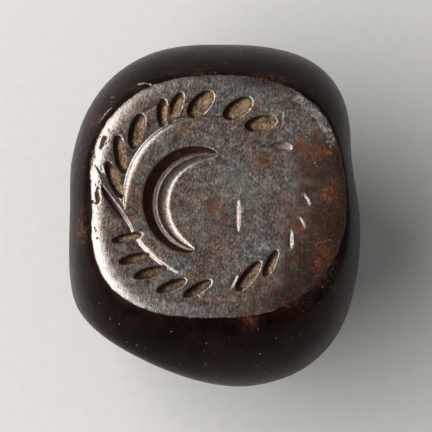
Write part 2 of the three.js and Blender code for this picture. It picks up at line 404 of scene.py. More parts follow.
@dataclass(frozen=True)
class ArcCut:
    """A line cut along an arc, with a wall on each side of its deepest line, in mm."""

    centre: Pair
    radius: float  # to the deepest line
    start: float
    end: float
    inner_width: float
    outer_width: float
    start_depth: float
    end_depth: float
    skew: float = 1.0  # over 1, the widest place is nearer the end
    fullness: float = 0.5  # the power by which its ends narrow: a low one is blunt
    shallows: float = 0.5  # how far its depth follows its width
    lip: float = 1.0  # over 1, the inner wall rolls over into the face
    wear_and_highlight_wall: Pair = (0.15, 0.8)  # shares of the way down the inner wall, where its wear and painted highlight brighten it
    wear_and_highlight_past: float = 0.03  # how far over the deepest line the wear and painted highlight reach
    wear_and_highlight_ends: Pair = (0.1, 0.3)  # shares of the full width, between which the wear and painted highlight begin

    def place(self, plan: Plan) -> tuple[Array, Array, Array]:
        """Finds the place of points on the line.

        Args:
            plan: Points of the face.

        Returns:
            The share of the way along it, how far it has swelled there as a power of a sine, and
            the distance out from its deepest line in mm.
        """
        angle, distance = plan.polar(self.centre)
        share = arc_share(angle, self.start, self.end)
        part = np.sin(math.pi * share**self.skew) ** self.fullness
        return share, part, distance - self.radius

    def sunk(self, plan: Plan) -> Array:
        """Gives the line's depth: a lopsided V between its two walls.

        Args:
            plan: Points of the face.

        Returns:
            Depths in mm, negative outside the line.
        """
        share, part, out = self.place(plan)
        depth = self.start_depth + (self.end_depth - self.start_depth) * share
        inner = 1 + out / (self.inner_width * part)
        inner = np.where(inner > 0, np.maximum(inner, 0) ** self.lip, inner)
        outer = 1 - out / (self.outer_width * part)
        return depth * part**self.shallows * np.maximum(np.minimum(inner, outer), -1)

    def worn(self, plan: Plan) -> Array:
        """Gives where its inner wall is worn and carries a painted highlight: most at the deepest
        line, fading inwards.

        Args:
            plan: Points of the face.

        Returns:
            Shares from 0 to 1.
        """
        _, part, out = self.place(plan)
        wall = smooth_step(1 + out / (self.inner_width * part), *self.wear_and_highlight_wall)
        return wall * (out < self.wear_and_highlight_past) * smooth_step(part, *self.wear_and_highlight_ends)


@dataclass(frozen=True)
class Scratch:
    """A straight V-shaped scratch that runs out at both ends, in mm in the plan."""

    start: Pair
    end: Pair
    width: float
    depth: float

    def sunk(self, plan: Plan) -> Array:
        """Gives the scratch's depth.

        It falls off by the share of its half width, and by the fourth power of that of its length.

        Args:
            plan: Points of the face.

        Returns:
            Depths in mm, negative outside the scratch.
        """
        (x0, y0), (x1, y1) = self.start, self.end
        middle = ((x0 + x1) / 2, (y0 + y1) / 2)
        along, across = plan.turned(middle, math.atan2(y1 - y0, x1 - x0))
        along /= math.hypot(x1 - x0, y1 - y0) / 2
        across /= self.width / 2
        return self.depth * np.maximum(1 - np.abs(across) - along**4, -1)


@dataclass(frozen=True)
class Crescent:
    """The moon, cut as two grooves side by side that run out together at its tips.

    Places across it run from -1 at its inner edge to 1 at its outer edge.
    """

    centre: Pair = (-0.72, -0.35)
    radius: float = 2.49  # to its middle line at the tips
    bow: float = 0.14  # how far that line is drawn inwards half way between them
    half_width: float = 0.73
    depth: float = 0.48
    start: float = 73.0
    end: float = 260.0
    width_power: float = 0.47  # by which its tips narrow: a low one is blunt
    depth_power: float = 0.6  # by which they grow shallow
    outer_line: float = 0.26  # the place across at which the outer groove is deepest
    outer_wall: float = 1.25  # the power by which it comes up to the outer edge
    inner_line: float = -0.38
    inner_depth: float = 0.68  # as a share of the outer groove's
    inner_wall: float = 1.6
    # each groove's side of the ridge: its rise as a share of the depth, its reach, and its power
    outer_ridge: tuple[float, float, float] = (0.38, 0.29, 1.35)
    inner_ridge: tuple[float, float, float] = (0.1, 0.35, 1.8)
    farthest: float = 3.0  # the place across, past which all points count as equally far out
    rough: tuple[Strip, ...] = (  # places across, where its cut is rough and dark: partly the unpolished cut, partly painted shade on the outer wall, which faces away from the light
        Strip(0.1, 0.28, 0.9, 1.0),
        Strip(-0.56, -0.42, -0.16, -0.04, 0.8),
        Strip(-0.3, -0.1, 0.2, 0.4, 0.45),
    )
    bright: tuple[Strip, ...] = (  # places across, where it is worn and carries a painted highlight
        Strip(-1.05, -0.7, -0.55, -0.42),
        Strip(-0.14, 0.0, 0.08, 0.24, 0.62),
    )

    def place(self, plan: Plan) -> tuple[Array, Array]:
        """Finds the place of points on the moon.

        Args:
            plan: Points of the face.

        Returns:
            How far across the moon they are, and how far it has swelled there, from 0 at a tip to
            1 half way.
        """
        angle, distance = plan.polar(self.centre)
        swell = np.sin(math.pi * arc_share(angle, self.start, self.end))
        out = distance - self.radius + self.bow * swell
        across = out / (self.half_width * swell**self.width_power)
        return np.clip(across, -self.farthest, self.farthest), swell

    def unpolished(self, plan: Plan) -> Array:
        """Gives where the moon is dark: its rough cut in its grooves and, less, on its ridge, with
        painted shade on the outer wall.
        """
        across, _ = self.place(plan)
        return np.maximum.reduce([strip.at(across) for strip in self.rough])

    def worn(self, plan: Plan) -> Array:
        """Gives where the moon is worn and carries a painted highlight: on its inner lip and, less,
        on its ridge.
        """
        across, _ = self.place(plan)
        return np.maximum.reduce([strip.at(across) for strip in self.bright])

    def sunk(self, plan: Plan) -> Array:
        """Gives the moon's depth: the deeper of two grooves at each point.

        Each groove comes up from its deepest line by a power of the share of the way to the moon's
        edge, and on its other side to the low ridge between them. The inner edge rolls over into
        the face.

        Args:
            plan: Points of the face.

        Returns:
            Depths in mm, negative outside the moon.
        """
        across, swell = self.place(plan)
        height, reach, power = self.outer_ridge
        ridge = height * np.maximum((self.outer_line - across) / reach, 0) ** power
        way = np.maximum((across - self.outer_line) / (1 - self.outer_line), 0)
        outer = 1 - way**self.outer_wall - ridge
        height, reach, power = self.inner_ridge
        ridge = height * np.maximum((across - self.inner_line) / reach, 0) ** power
        way = (self.inner_line - across) / (1 + self.inner_line)
        floor = self.inner_depth * np.clip(1 - way, 0, 1) ** self.inner_wall
        inner = floor - ridge - np.maximum(way - 1, 0)
        depth = self.depth * swell**self.depth_power
        return depth * np.maximum.reduce([outer, inner, np.full_like(across, -1.0)])


@dataclass(frozen=True)
class Chip:
    """A flake broken off the stone: a flat-floored oval with a ragged edge, in mm in the plan."""

    x: float
    y: float
    length: float
    width: float
    turn: float
    depth: float
    wander: float = 0.6  # how far its edge strays, as a share of its half size
    steepness: float = 2.2  # how many half sizes of slope would take it from the edge to the floor

    def sunk(self, plan: Plan, ragged: Array) -> Array:
        """Gives the flake's depth: a flat floor inside an edge that wanders.

        It deepens from the edge inwards by the share of the half sizes, which noise sways, times
        the steepness, and is cut off at the floor.

        Args:
            plan: Points of the face.
            ragged: Noise from -1 to 1 at the points.

        Returns:
            Depths in mm, negative outside the flake.
        """
        along, across = plan.turned((self.x, self.y), math.radians(self.turn))
        away = np.hypot(along / (self.length / 2), across / (self.width / 2))
        inside = 1 - away + self.wander * ragged
        return self.depth * np.clip(inside * self.steepness, -1, 1)


@dataclass(frozen=True)
class Engraving:
    """Everything that is cut, worn or broken into the face."""

    wreath_centre: Pair = (-0.57, -0.05)
    leaf_fullness: float = 2.4
    deep_leaf: float = 0.2  # leaves at least this deep kept their rough cut
    edge_softness: float = 0.025  # how far the cuts' edges are rounded
    moon: Crescent = Crescent()
    # a line round the inside of the wreath in two stretches, and two lines down through its left
    lines: tuple[ArcCut, ...] = (
        ArcCut(wreath_centre, 4.15, 72, 190, 0.55, 1.0, 0.2, 0.2, skew=1.8, fullness=0.7, lip=2.3),
        ArcCut(wreath_centre, 4.15, 200, 250, 0.36, 0.65, 0.16, 0.16, fullness=0.7, lip=2.3),
        ArcCut((12.03, 10.42), 20.0, 206.6, 213.2, 0.16, 0.42, 0.16, 0.2),
        ArcCut((11.57, 10.58), 20.1, 210.3, 218.0, 0.2, 0.3, 0.34, 0.08, shallows=0.0),
    )
    leaves: tuple[Leaf, ...] = (
        Leaf(154, 4.79, 36, 2.1, 0.68, 0.34),
        Leaf(136.7, 4.8, 29, 1.95, 0.82, 0.36),
        Leaf(117.5, 4.78, 60, 1.55, 0.6, 0.3),
        Leaf(109.5, 4.76, 47, 1.85, 0.64, 0.36),
        Leaf(93.7, 4.71, 44, 1.8, 0.96, 0.42),
        Leaf(70.7, 4.77, 53, 1.75, 0.94, 0.4),
        Leaf(53.9, 4.63, 49, 1.7, 0.82, 0.38),
        Leaf(34.2, 4.54, 51, 1.15, 0.46, 0.17),
        Leaf(-1.7, 5.0, 35, 0.72, 0.24, 0.08),
        Leaf(-15.3, 4.93, 45, 0.64, 0.22, 0.08),
        Leaf(-27.6, 4.74, 26, 1.05, 0.3, 0.11),
        Leaf(-46.7, 4.67, 21, 1.62, 0.5, 0.24),
        Leaf(-62.6, 4.56, 24, 2.0, 0.64, 0.34),
        Leaf(-72.8, 4.56, 43, 0.85, 0.24, 0.1),
        Leaf(-95.5, 4.72, 35, 1.7, 0.56, 0.3),
        Leaf(-111, 4.88, 43, 1.68, 0.56, 0.3),
        Leaf(-125.8, 4.78, 53, 1.85, 0.58, 0.32),
        Leaf(-138.6, 4.8, 64, 1.7, 0.54, 0.28),
        Leaf(-151.7, 4.5, 75, 1.65, 0.5, 0.28),
        Leaf(170.1, 4.67, 32, 2.1, 0.68, 0.36),
    )
    worn_mark: ArcCut = ArcCut((5.2, -1.05), 4.25, 169, 191, 0.26, 0.6, 0.08, 0.08)
    scratches: tuple[Scratch, ...] = (
        Scratch((-6.4, 1.95), (-5.62, 0.85), 0.2, 0.2),
        Scratch((-3.8, 4.2), (-2.95, 4.65), 0.16, 0.1),
        Scratch((-2.3, 3.93), (-0.6, 4.06), 0.16, 0.08),
        Scratch((3.28, 4.35), (3.26, 3.55), 0.1, 0.04),
        Scratch((4.9, -2.42), (6.0, -2.12), 0.1, 0.02),
        Scratch((1.4, 1.2), (2.6, 0.1), 0.16, 0.03),
    )
    chips: tuple[Chip, ...] = (
        Chip(-5.65, 2.85, 0.42, 0.26, 50, 0.06),
        Chip(-5.78, 2.55, 0.4, 0.24, 78, 0.06),
        Chip(-5.56, 2.6, 0.18, 0.14, 0, 0.05),
        Chip(-6.0, -0.2, 1.2, 0.26, 84, 0.08),
        Chip(-6.24, -0.32, 0.26, 0.16, 70, 0.06),
        Chip(-6.3, 1.85, 0.9, 0.22, 82, 0.04),
    )
    chip_edge: Noise = Noise(0.11, 11)  # it makes the flakes' edges wander
    band_along: Strip = Strip(20, 28, 46, 56)  # degrees round the rim, where the margin is broken
    band_across: Strip = Strip(-0.1, 0.12, 0.3, 0.55)  # mm inwards from the face's corner
    band_depth: float = 0.06
    grit: tuple[Noise, ...] = (Noise(0.24, 5), Noise(0.12, 6))
    worn_edge: Strip = Strip(-0.05, -0.015, 0.01, 0.05)  # mm deep, where the leaves' edges are worn
    shallow_floor: Pair = (0.0, 0.03)  # mm deep, where the painted highlight on the shallow leaves begins
    shallow_highlight: float = 0.65
    rise_step: float = 0.05  # mm to the right, over which a floor is found to rise
    rise_least: Pair = (-0.01, 0.02)  # mm that it rises in that step, between which it carries the painted highlight
    mark_wear_and_highlight: float = 0.5

    def cuts(self, plan: Plan) -> Array:
        """Gives the depth of the deepest cut below the face's plane, negative outside the cuts."""
        others = (self.moon, *self.lines, self.worn_mark, *self.scratches)
        return np.maximum.reduce([self.leaf_depth(plan), *(cut.sunk(plan) for cut in others)])

    def leaf_depth(self, plan: Plan, least: float = 0.0) -> Array:
        """Gives the depth of the deepest leaf, negative outside the leaves.

        Args:
            plan: Points of the face.
            least: Leaves that are shallower than this are passed over.

        Returns:
            Depths in mm.
        """
        centre, fullness = self.wreath_centre, self.leaf_fullness
        leaves = [leaf for leaf in self.leaves if leaf.depth >= least]
        return np.maximum.reduce([leaf.sunk(plan, centre, fullness) for leaf in leaves])

    def worn(self, plan: Plan) -> Array:
        """Gives where the cuts are worn bright, and where painted highlights lie on walls facing
        the light.

        Wear shows on the leaves' edges. A painted highlight shows on the sides of the shallow
        leaves that rise to the right, and wear with a painted highlight on the moon, on the lines'
        inner walls and, less, on the mark in the middle.

        Args:
            plan: Points of the face.

        Returns:
            Shares from 0 to 1.
        """
        leaf = self.leaf_depth(plan)
        shallow = smooth_step(leaf, *self.shallow_floor)
        shallow *= self.leaf_depth(plan, self.deep_leaf) < 0
        # floors that rise to the right face the light: the shallow leaves' painted highlight
        rise = leaf - self.leaf_depth(plan.moved(self.rise_step))
        shallow *= smooth_step(rise, *self.rise_least) * self.shallow_highlight
        mark = self.mark_wear_and_highlight * self.worn_mark.worn(plan)
        others = [cut.worn(plan) for cut in (self.moon, *self.lines)]
        return np.maximum.reduce([self.worn_edge.at(leaf), shallow, mark, *others])

    def broken(self, plan: Plan) -> Array:
        """Gives the depth of the deepest flake, negative outside the flakes."""
        ragged = self.chip_edge.in_plan(plan)
        return np.maximum.reduce([chip.sunk(plan, ragged) for chip in self.chips])

    def margin_drop(self, plan: Plan, form: BeadForm) -> Array:
        """Gives how far the broken margin has crumbled: its noises of grit in its band, in mm."""
        grit = 1 + sum(noise.in_plan(plan) for noise in self.grit) / len(self.grit)
        return self.band_depth * self.band(plan, form) * grit

    def band(self, plan: Plan, form: BeadForm) -> Array:
        """Gives where the margin at the upper right is broken: 1 on it, fading to 0 off it."""
        angle, _ = plan.polar()
        return self.band_along.at(np.degrees(angle)) * self.band_across.at(-form.outside(plan))


@dataclass(frozen=True)
class Patch:
    """A stain on the stone: an oval that fades outwards, in mm in the plan."""

    x: float
    y: float
    half_width: float
    half_height: float
    strength: float

    def at(self, plan: Plan) -> Array:
        """Gives the strength times e to minus the squared distance in half sizes.

        Args:
            plan: Points of the stone.

        Returns:
            Shares.
        """
        across = (plan.x - self.x) / self.half_width
        along = (plan.y - self.y) / self.half_height
        return self.strength * np.exp(-(across**2) - along**2)


@dataclass(frozen=True)
class Crack:
    """A line on the surface that runs straight from point to point, in mm in the plan."""

    corners: tuple[Pair, ...]
    half_width: float
    strength: float

    def at(self, plan: Plan) -> Array:
        """Gives the strength times e to minus the squared distance in half widths.

        The distance is that to the nearest stretch of the line.

        Args:
            plan: Points of the stone.

        Returns:
            Shares.
        """
        nearest = np.full_like(plan.x, np.inf)
        for (x0, y0), (x1, y1) in zip(self.corners, self.corners[1:]):
            right, up = plan.x - x0, plan.y - y0
            run_x, run_y = x1 - x0, y1 - y0
            share = np.clip((right * run_x + up * run_y) / (run_x**2 + run_y**2), 0, 1)
            away = np.hypot(right - share * run_x, up - share * run_y)
            nearest = np.minimum(nearest, away)
        return self.strength * np.exp(-((nearest / self.half_width) ** 2))


def total(marks: Iterable[Patch | Crack], plan: Plan) -> Array:
    """Gives the sum of the marks' shares at points of the plan."""
    return sum(mark.at(plan) for mark in marks)


@dataclass(frozen=True)
class Weathering:
    """Where time stained, filled and bared the stone, and where shade and highlight are painted, in
    mm in the plan.
    """

    rust: tuple[Patch, ...] = (
        Patch(2.28, 1.8, 0.6, 0.5, 1.0),
        Patch(4.3, 2.25, 0.8, 0.6, 0.75),
        Patch(5.5, 2.5, 0.6, 0.5, 0.5),
        Patch(5.7, 0.3, 0.6, 0.5, 0.85),
        Patch(5.35, -3.2, 0.55, 0.8, 1.0),
        Patch(3.9, -1.6, 0.7, 0.5, 0.9),
        Patch(3.3, 0.1, 0.5, 0.35, 0.5),
        Patch(2.6, -4.4, 0.6, 0.4, 0.5),
        Patch(1.6, -6.2, 0.6, 0.6, 0.75),
        Patch(3.5, -5.5, 0.5, 0.3, 0.4),
        Patch(-0.15, 3.05, 0.45, 0.35, 0.6),
        Patch(-4.0, -0.45, 0.42, 0.75, 0.85),
        Patch(-0.3, 0.2, 0.8, 0.9, 0.75),
        Patch(0.0, -1.1, 0.8, 0.9, 0.7),
        Patch(-1.9, 3.4, 0.55, 0.35, 0.55),
        Patch(2.85, 6.1, 0.6, 0.25, 0.7),
        Patch(3.4, 5.4, 0.6, 0.35, 0.7),
        Patch(-6.8, -1.6, 0.35, 1.0, 0.9),
        Patch(-6.1, 4.0, 0.6, 0.9, 0.6),
        Patch(0.6, -4.9, 0.7, 0.35, 0.4),
        Patch(2.85, 2.5, 0.35, 0.18, 0.6),
    )
    # dark patches: partly dull patina, partly painted shade on the margins and the right
    dulled_and_shaded: tuple[Patch, ...] = (
        Patch(2.2, 5.85, 1.7, 0.5, 0.8),
        Patch(-1.2, 6.2, 1.6, 0.35, 0.6),
        Patch(-3.9, 5.5, 0.9, 0.3, 0.5),
        Patch(-5.2, 4.6, 0.6, 0.4, 0.45),
        Patch(5.3, -3.7, 0.9, 1.2, 0.7),
        Patch(3.8, -5.2, 1.1, 0.5, 0.6),
        Patch(-0.4, -1.7, 0.9, 1.0, 0.4),
        Patch(4.2, 1.9, 1.0, 1.4, 0.42),
    )
    rubbed: tuple[Patch, ...] = (
        Patch(0.8, 0.8, 1.2, 1.3, 0.8),
        Patch(1.7, -0.3, 0.5, 0.7, 0.65),
        Patch(2.7, 0.4, 0.8, 1.0, 0.45),
    )
    painted_shade_lines: tuple[Crack, ...] = (  # painted shade: dark lines along two grooves and a leaf's upper left edge
        Crack(((-2.3, 3.93), (-0.93, 4.06), (0.41, 4.0)), 0.07, 0.85),
        Crack(((-3.75, 4.24), (-2.95, 4.62)), 0.06, 0.7),
        Crack(((2.52, 2.42), (2.85, 2.7), (3.35, 2.72)), 0.07, 0.8),
    )
    cracks: tuple[Crack, ...] = (  # pale lines
        Crack(((-5.94, 3.75), (-5.76, 4.02), (-5.53, 4.33), (-5.28, 4.52)), 0.05, 0.6),
        Crack(((-3.95, 5.74), (-3.66, 5.8), (-3.35, 5.66)), 0.06, 0.7),
        Crack(((-1.8, 5.98), (-1.42, 6.04)), 0.05, 0.65),
        Crack(((-5.38, 5.2), (-5.16, 5.16)), 0.06, 0.6),
        Crack(((-2.2, 5.6), (-1.86, 5.5)), 0.05, 0.55),
        Crack(((3.3, 4.3), (3.26, 3.6)), 0.04, 0.7),
        Crack(((4.1, 2.3), (4.7, 1.85), (5.1, 1.4), (5.7, 1.65)), 0.04, 0.4),
        Crack(((4.9, -2.5), (5.25, -2.3), (5.95, -2.15)), 0.04, 0.5),
        Crack(((-0.35, 4.8), (0.3, 4.9)), 0.04, 0.7),
        Crack(((1.15, -0.7), (1.2, -1.3)), 0.17, 0.5),
    )
    ragged: Noise = Noise(0.35, 21)
    fine: Noise = Noise(0.12, 22)
    face_reach: Pair = (1.6, 2.6)  # mm below the face, between which its finishes end
    rim_end: Pair = (0.55, 1.05)  # shares of the way down the rim, between which the skin begins
    rim_wander: float = 0.1
    rim_middle: float = 0.5  # share of the way down the rim, past which a point may lie under it
    underside: float = 1.3  # depth below the face, in drops of the rim, that is under the rim
    past_rim: float = 2.0  # how fast the bared stone ends, per mm outside the face's corner
    skin_reach: Bell = Bell(0.24, 187, 18)  # mm that the skin's dark colour reaches over the rim, most at the left
    skin_wander: float = 0.05
    skin_edge: Pair = (0.0, 0.14)
    brown_clouds: Noise = Noise(0.9, 23)
    brown_wander: float = 0.35
    grey_margin: Pair = (4.7, 5.6)  # mm up the face, between which the margin grows greyer
    margin_grey: float = 0.6
    side_lean: float = 0.3  # how far the way to the browner side turns from right to down
    rust_way: Pair = (0.6, 5.4)  # mm along that way, between which the face grows rustier
    rust_side: float = 0.3
    rust_even: float = 0.85
    rust_wander: float = 0.35
    rust_on_skin: float = 0.6
    rust_most: float = 1.2
    tarnish_and_shade_way: Pair = (3.0, 5.6)  # mm along that way, between which the grey turns dark brown: partly patina, partly painted shade away from the light
    tarnish_and_shade_wander: float = 0.5
    wear_and_highlight_bearing: float = 205.0  # where the rim is painted brightest: partly wear, partly a painted highlight on the side facing the light
    wear_and_highlight_facing: Pair = (0.0, 0.8)  # cosines off that bearing, between which it is worn and painted bright
    wear_and_highlight_rim: Strip = Strip(0.0, 0.06, 0.5, 0.9)  # shares of the way down the rim
    floor_edge: Pair = (0.01, 0.05)  # mm deep, where a deep leaf's rough floor begins
    line_edge: Pair = (0.05, 0.16)  # mm deep, where the last line's rough floor begins
    residue_least: float = 0.12  # the depth of the shallowest leaf that holds residue
    residue_height: float = 0.06
    residue_and_light_shift: float = 0.21  # how far to the right in each leaf its residue lies, towards the walls facing the light, as partly painted light
    residue_slope: float = 0.65
    residue_wander: float = 0.03
    residue_edge: Pair = (0.02, 0.18)  # mm of residue, between which it hides the stone
    residue_lost: Bell = Bell(0.5, 235, 50)  # the share of the residue that is gone
    pits: Noise = Noise(0.13, 24)
    pit_edge: Pair = (0.5, 0.66)  # values of that noise, between which a pit begins
    pit_rim: Bell = Bell(1.0, 180, 50)
    pit_start: float = 0.04  # share of the way down the rim, past which it is pitted
    chip_floor: Pair = (0.0, 0.05)
    crack_wander: float = 0.5

    def bared(self, plan: Plan, below: Array, form: BeadForm, ragged: Array) -> Array:
        """Gives where the old skin is ground off: on the face, and part of the way down its rim.

        Points of the stone's underside lie inside the face's outline too, so depth counts as well.
        On one side, at the left, the skin's dark colour reaches back over the rim.

        Args:
            plan: Points of the stone.
            below: How far below the face they lie, in mm.
            form: The stone's outer form.
            ragged: Noise from -1 to 1 at the points.

        Returns:
            Shares from 0 to 1.
        """
        angle, _ = plan.polar()
        down = form.rim_share(plan)
        outside = form.outside(plan)
        under = (below > self.underside * form.rim_fall(angle)) * (down > self.rim_middle)
        beyond = np.maximum(outside, 0) + under
        end = down + self.rim_wander * ragged + self.past_rim * beyond
        skin = outside + self.skin_reach.at(angle) + self.skin_wander * ragged
        return (1 - smooth_step(end, *self.rim_end)) * (1 - smooth_step(skin, *self.skin_edge))

    def rough(self, plan: Plan, engraving: Engraving) -> Array:
        """Gives where the dark rough cut shows, in the deep leaves, the moon and a line, and the
        painted shade lines.

        Args:
            plan: Points of the face.
            engraving: What is cut into the face.

        Returns:
            Shares from 0 to 1.
        """
        leaf = smooth_step(engraving.leaf_depth(plan, engraving.deep_leaf), *self.floor_edge)
        moon = engraving.moon.unpolished(plan) * (engraving.moon.sunk(plan) > 0)
        line = smooth_step(engraving.lines[-1].sunk(plan), *self.line_edge)
        return np.maximum.reduce([leaf, moon, line, total(self.painted_shade_lines, plan)])

    def filled(self, plan: Plan, engraving: Engraving, fine: Array) -> Array:
        """Gives where pale residue fills the leaves: on their floors, and against their right
        walls, which face the light, so that it is partly painted light there.

        Its surface is the lower of a level one and one that slopes down to the left.

        Args:
            plan: Points of the face.
            engraving: What is cut into the face.
            fine: Noise from -1 to 1 at the points.

        Returns:
            Shares from 0 to 1.
        """
        level = engraving.leaf_depth(plan, self.residue_least) + self.residue_height
        shifted = engraving.leaf_depth(plan.moved(-self.residue_and_light_shift), self.residue_least)
        lodged = np.minimum(level, self.residue_slope * shifted) + self.residue_wander * fine
        angle, _ = plan.polar()
        return smooth_step(lodged, *self.residue_edge) * (1 - self.residue_lost.at(angle))

    def shares(
        self,
        points: Array,
        form: BeadForm,
        engraving: Engraving,
        top: float,
    ) -> dict[Mask, Array]:
        """Works out how strongly each finish shows at each point.

        Args:
            points: Rows of x, y and z in mm.
            form: The stone's outer form.
            engraving: What is cut into the face.
            top: Height of the face in mm.

        Returns:
            Shares from 0 to 1, and a little over 1 where a finish lies thick.
        """
        x, y, z = points.T
        plan = Plan(x, y)
        angle, _ = plan.polar()
        ragged, fine = self.ragged.at(points), self.fine.at(points)
        ground = self.bared(plan, top - z, form, ragged)
        down = form.rim_share(plan)
        brown = 0.5 + 0.5 * self.brown_clouds.at(points) + self.brown_wander * ragged
        brown -= self.margin_grey * smooth_step(y, *self.grey_margin)
        # painted brighter on the rim's lower left, on rubbed patches and in the cuts: partly wear,
        # partly painted highlight
        facing = np.cos(angle - math.radians(self.wear_and_highlight_bearing))
        wear_and_highlight = self.wear_and_highlight_rim.at(down) * smooth_step(facing, *self.wear_and_highlight_facing)
        wear_and_highlight = np.maximum.reduce([wear_and_highlight, total(self.rubbed, plan), engraving.worn(plan)])
        way = x - self.side_lean * y
        side = self.rust_side * smooth_step(way, *self.rust_way) * ground
        rust = total(self.rust, plan) + side
        rust *= self.rust_even + self.rust_wander * (ragged + fine)
        rust *= self.rust_on_skin + (1 - self.rust_on_skin) * ground
        # darker towards the lower right and on the margins: partly patina, partly painted shade
        # away from the light
        tarnish_and_shade = smooth_step(way + self.tarnish_and_shade_wander * ragged, *self.tarnish_and_shade_way) * ground
        tarnish_and_shade += total(self.dulled_and_shaded, plan)
        pits = self.pit_rim.at(angle) * (down > self.pit_start) * ground
        pits *= smooth_step(self.pits.at(points), *self.pit_edge)
        chips = smooth_step(engraving.broken(plan), *self.chip_floor)
        abraded = engraving.band(plan, form) * (1 + ragged)
        hairline = total(self.cracks, plan) * (1 + self.crack_wander * fine)
        shares = {
            Mask.GROUND: ground,
            Mask.BROWNED: np.clip(brown, 0, 1) * ground,
            Mask.TARNISHED_AND_SHADED: np.clip(tarnish_and_shade, 0, 1),
            Mask.RUST: np.clip(rust, 0, self.rust_most),
            Mask.WORN_AND_HIGHLIT: wear_and_highlight * ground,
            Mask.ROUGH_CUT_AND_SHADE: self.rough(plan, engraving),
            Mask.FILLED_AND_LIT: self.filled(plan, engraving, fine),
            Mask.ABRADED: np.clip(abraded, 0, 1),
            Mask.CHIPPED: np.maximum(chips, pits),
            Mask.HAIRLINE: np.clip(hairline, 0, 1),
        }
        upper = 1 - smooth_step(top - z, *self.face_reach)
        return {mask: share * upper for mask, share in shares.items()}


def add_node(
    tree: bpy.types.NodeTree,
    kind: str,
    settings: dict[str, Any],
    inputs: dict[str, Any],
) -> bpy.types.Node:
    """Adds one node with its settings, plain values and links.

    Args:
        tree: The node tree.
        kind: The node's class name.
        settings: Values of the node's own properties.
        inputs: A plain value or an output socket for inputs, by their identifier or name.

    Returns:
        The node.
    """
    node = tree.nodes.new(kind)
    for name, value in settings.items():
        setattr(node, name, value)
    for name, value in inputs.items():
        socket = next(s for s in node.inputs if name in (s.identifier, s.name))
        if isinstance(value, bpy.types.NodeSocket):
            tree.links.new(value, socket)
        else:
            socket.default_value = value
    return node


def empty_material(name: str) -> tuple[bpy.types.Material, bpy.types.NodeSocket]:
    """Starts a material whose nodes are a Texture Coordinate node alone.

    Args:
        name: The material's name.

    Returns:
        The material, and the place on the object in metres.
    """
    material = bpy.data.materials.new(name)
    material.use_nodes = True
    material.node_tree.nodes.clear()
    place = add_node(material.node_tree, "ShaderNodeTexCoord", {}, {})
    return material, place.outputs["Object"]


@dataclass(frozen=True)
class Coat:
    """One finish of the stone's surface: where it lies, its colours, and its gleam."""

    mask: Mask | None  # none where it lies everywhere
    dark: str
    light: str
    metallic: float
    roughness: float
    ragged: float  # how far noise raises and lowers the mask, as a share of it
    blend: float  # how soft its edge is, as a share of the mask


